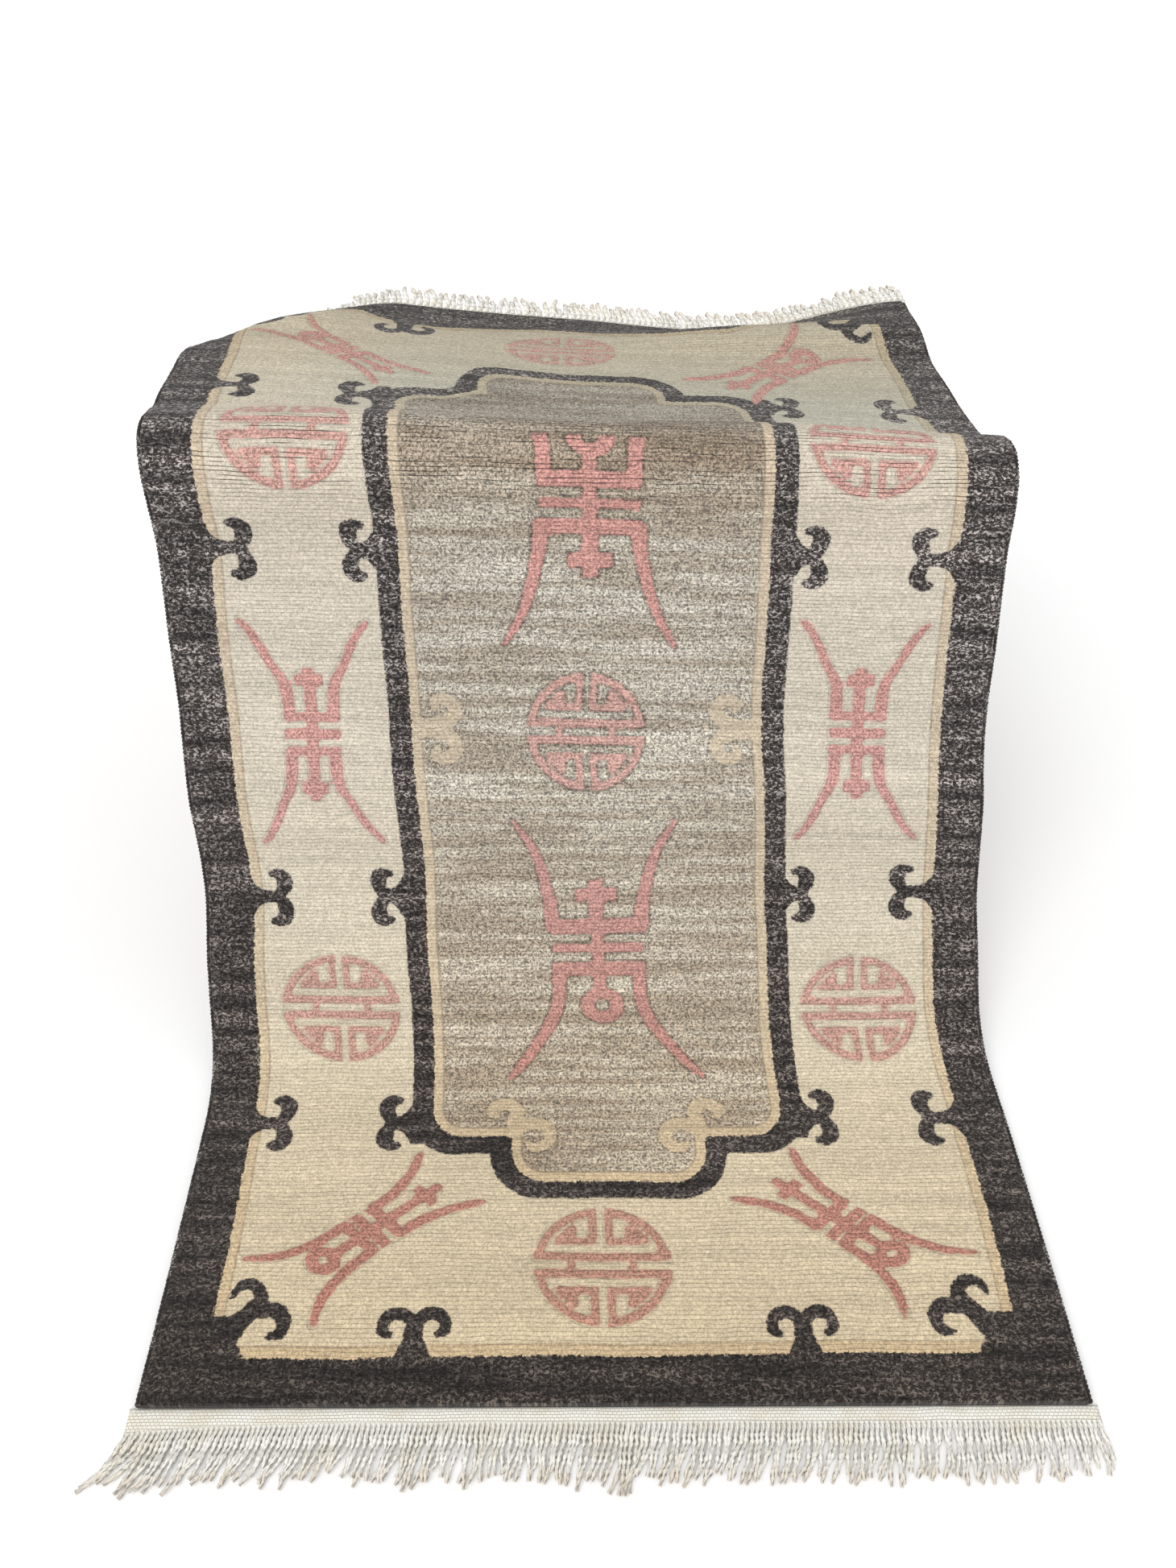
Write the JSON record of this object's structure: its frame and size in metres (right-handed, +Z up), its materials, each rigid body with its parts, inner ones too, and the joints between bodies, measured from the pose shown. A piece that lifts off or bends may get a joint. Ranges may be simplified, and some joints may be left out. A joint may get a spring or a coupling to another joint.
{
  "type": "tibetan rug draped over a low table",
  "caption": "Knotted wool pile rug, oblong, with flatwoven ends, cotton fringes and overcast sides, lying on the floor and running up over a plain low wooden table.",
  "frame": {"origin": "on the floor, under the middle of the whole outline", "axes": "+Z up, +Y from the rug's end on the floor back towards its end on the table, +X to the right seen from the floor end"},
  "size_m": [0.9758, 1.303, 0.6494],
  "materials": {
    "wool_pile": "cut wool pile, matt, striped crossways by uneven dyeing",
    "dark_wool": "overcast dark wool yarn, matt",
    "cotton": "undyed cotton, plain woven and twisted, matt",
    "wood": "oiled wood, satin"
  },
  "bodies": {
    "root": {"rug": "wool_pile", "left_selvedge": "dark_wool", "right_selvedge": "dark_wool", "near_fringe": "cotton", "far_fringe": "cotton", "table_top": "wood", "front_left_leg": "wood", "front_right_leg": "wood", "front_apron": "wood", "back_left_leg": "wood", "back_right_leg": "wood", "back_apron": "wood", "left_apron": "wood", "right_apron": "wood"}
  },
  "joints": []
}
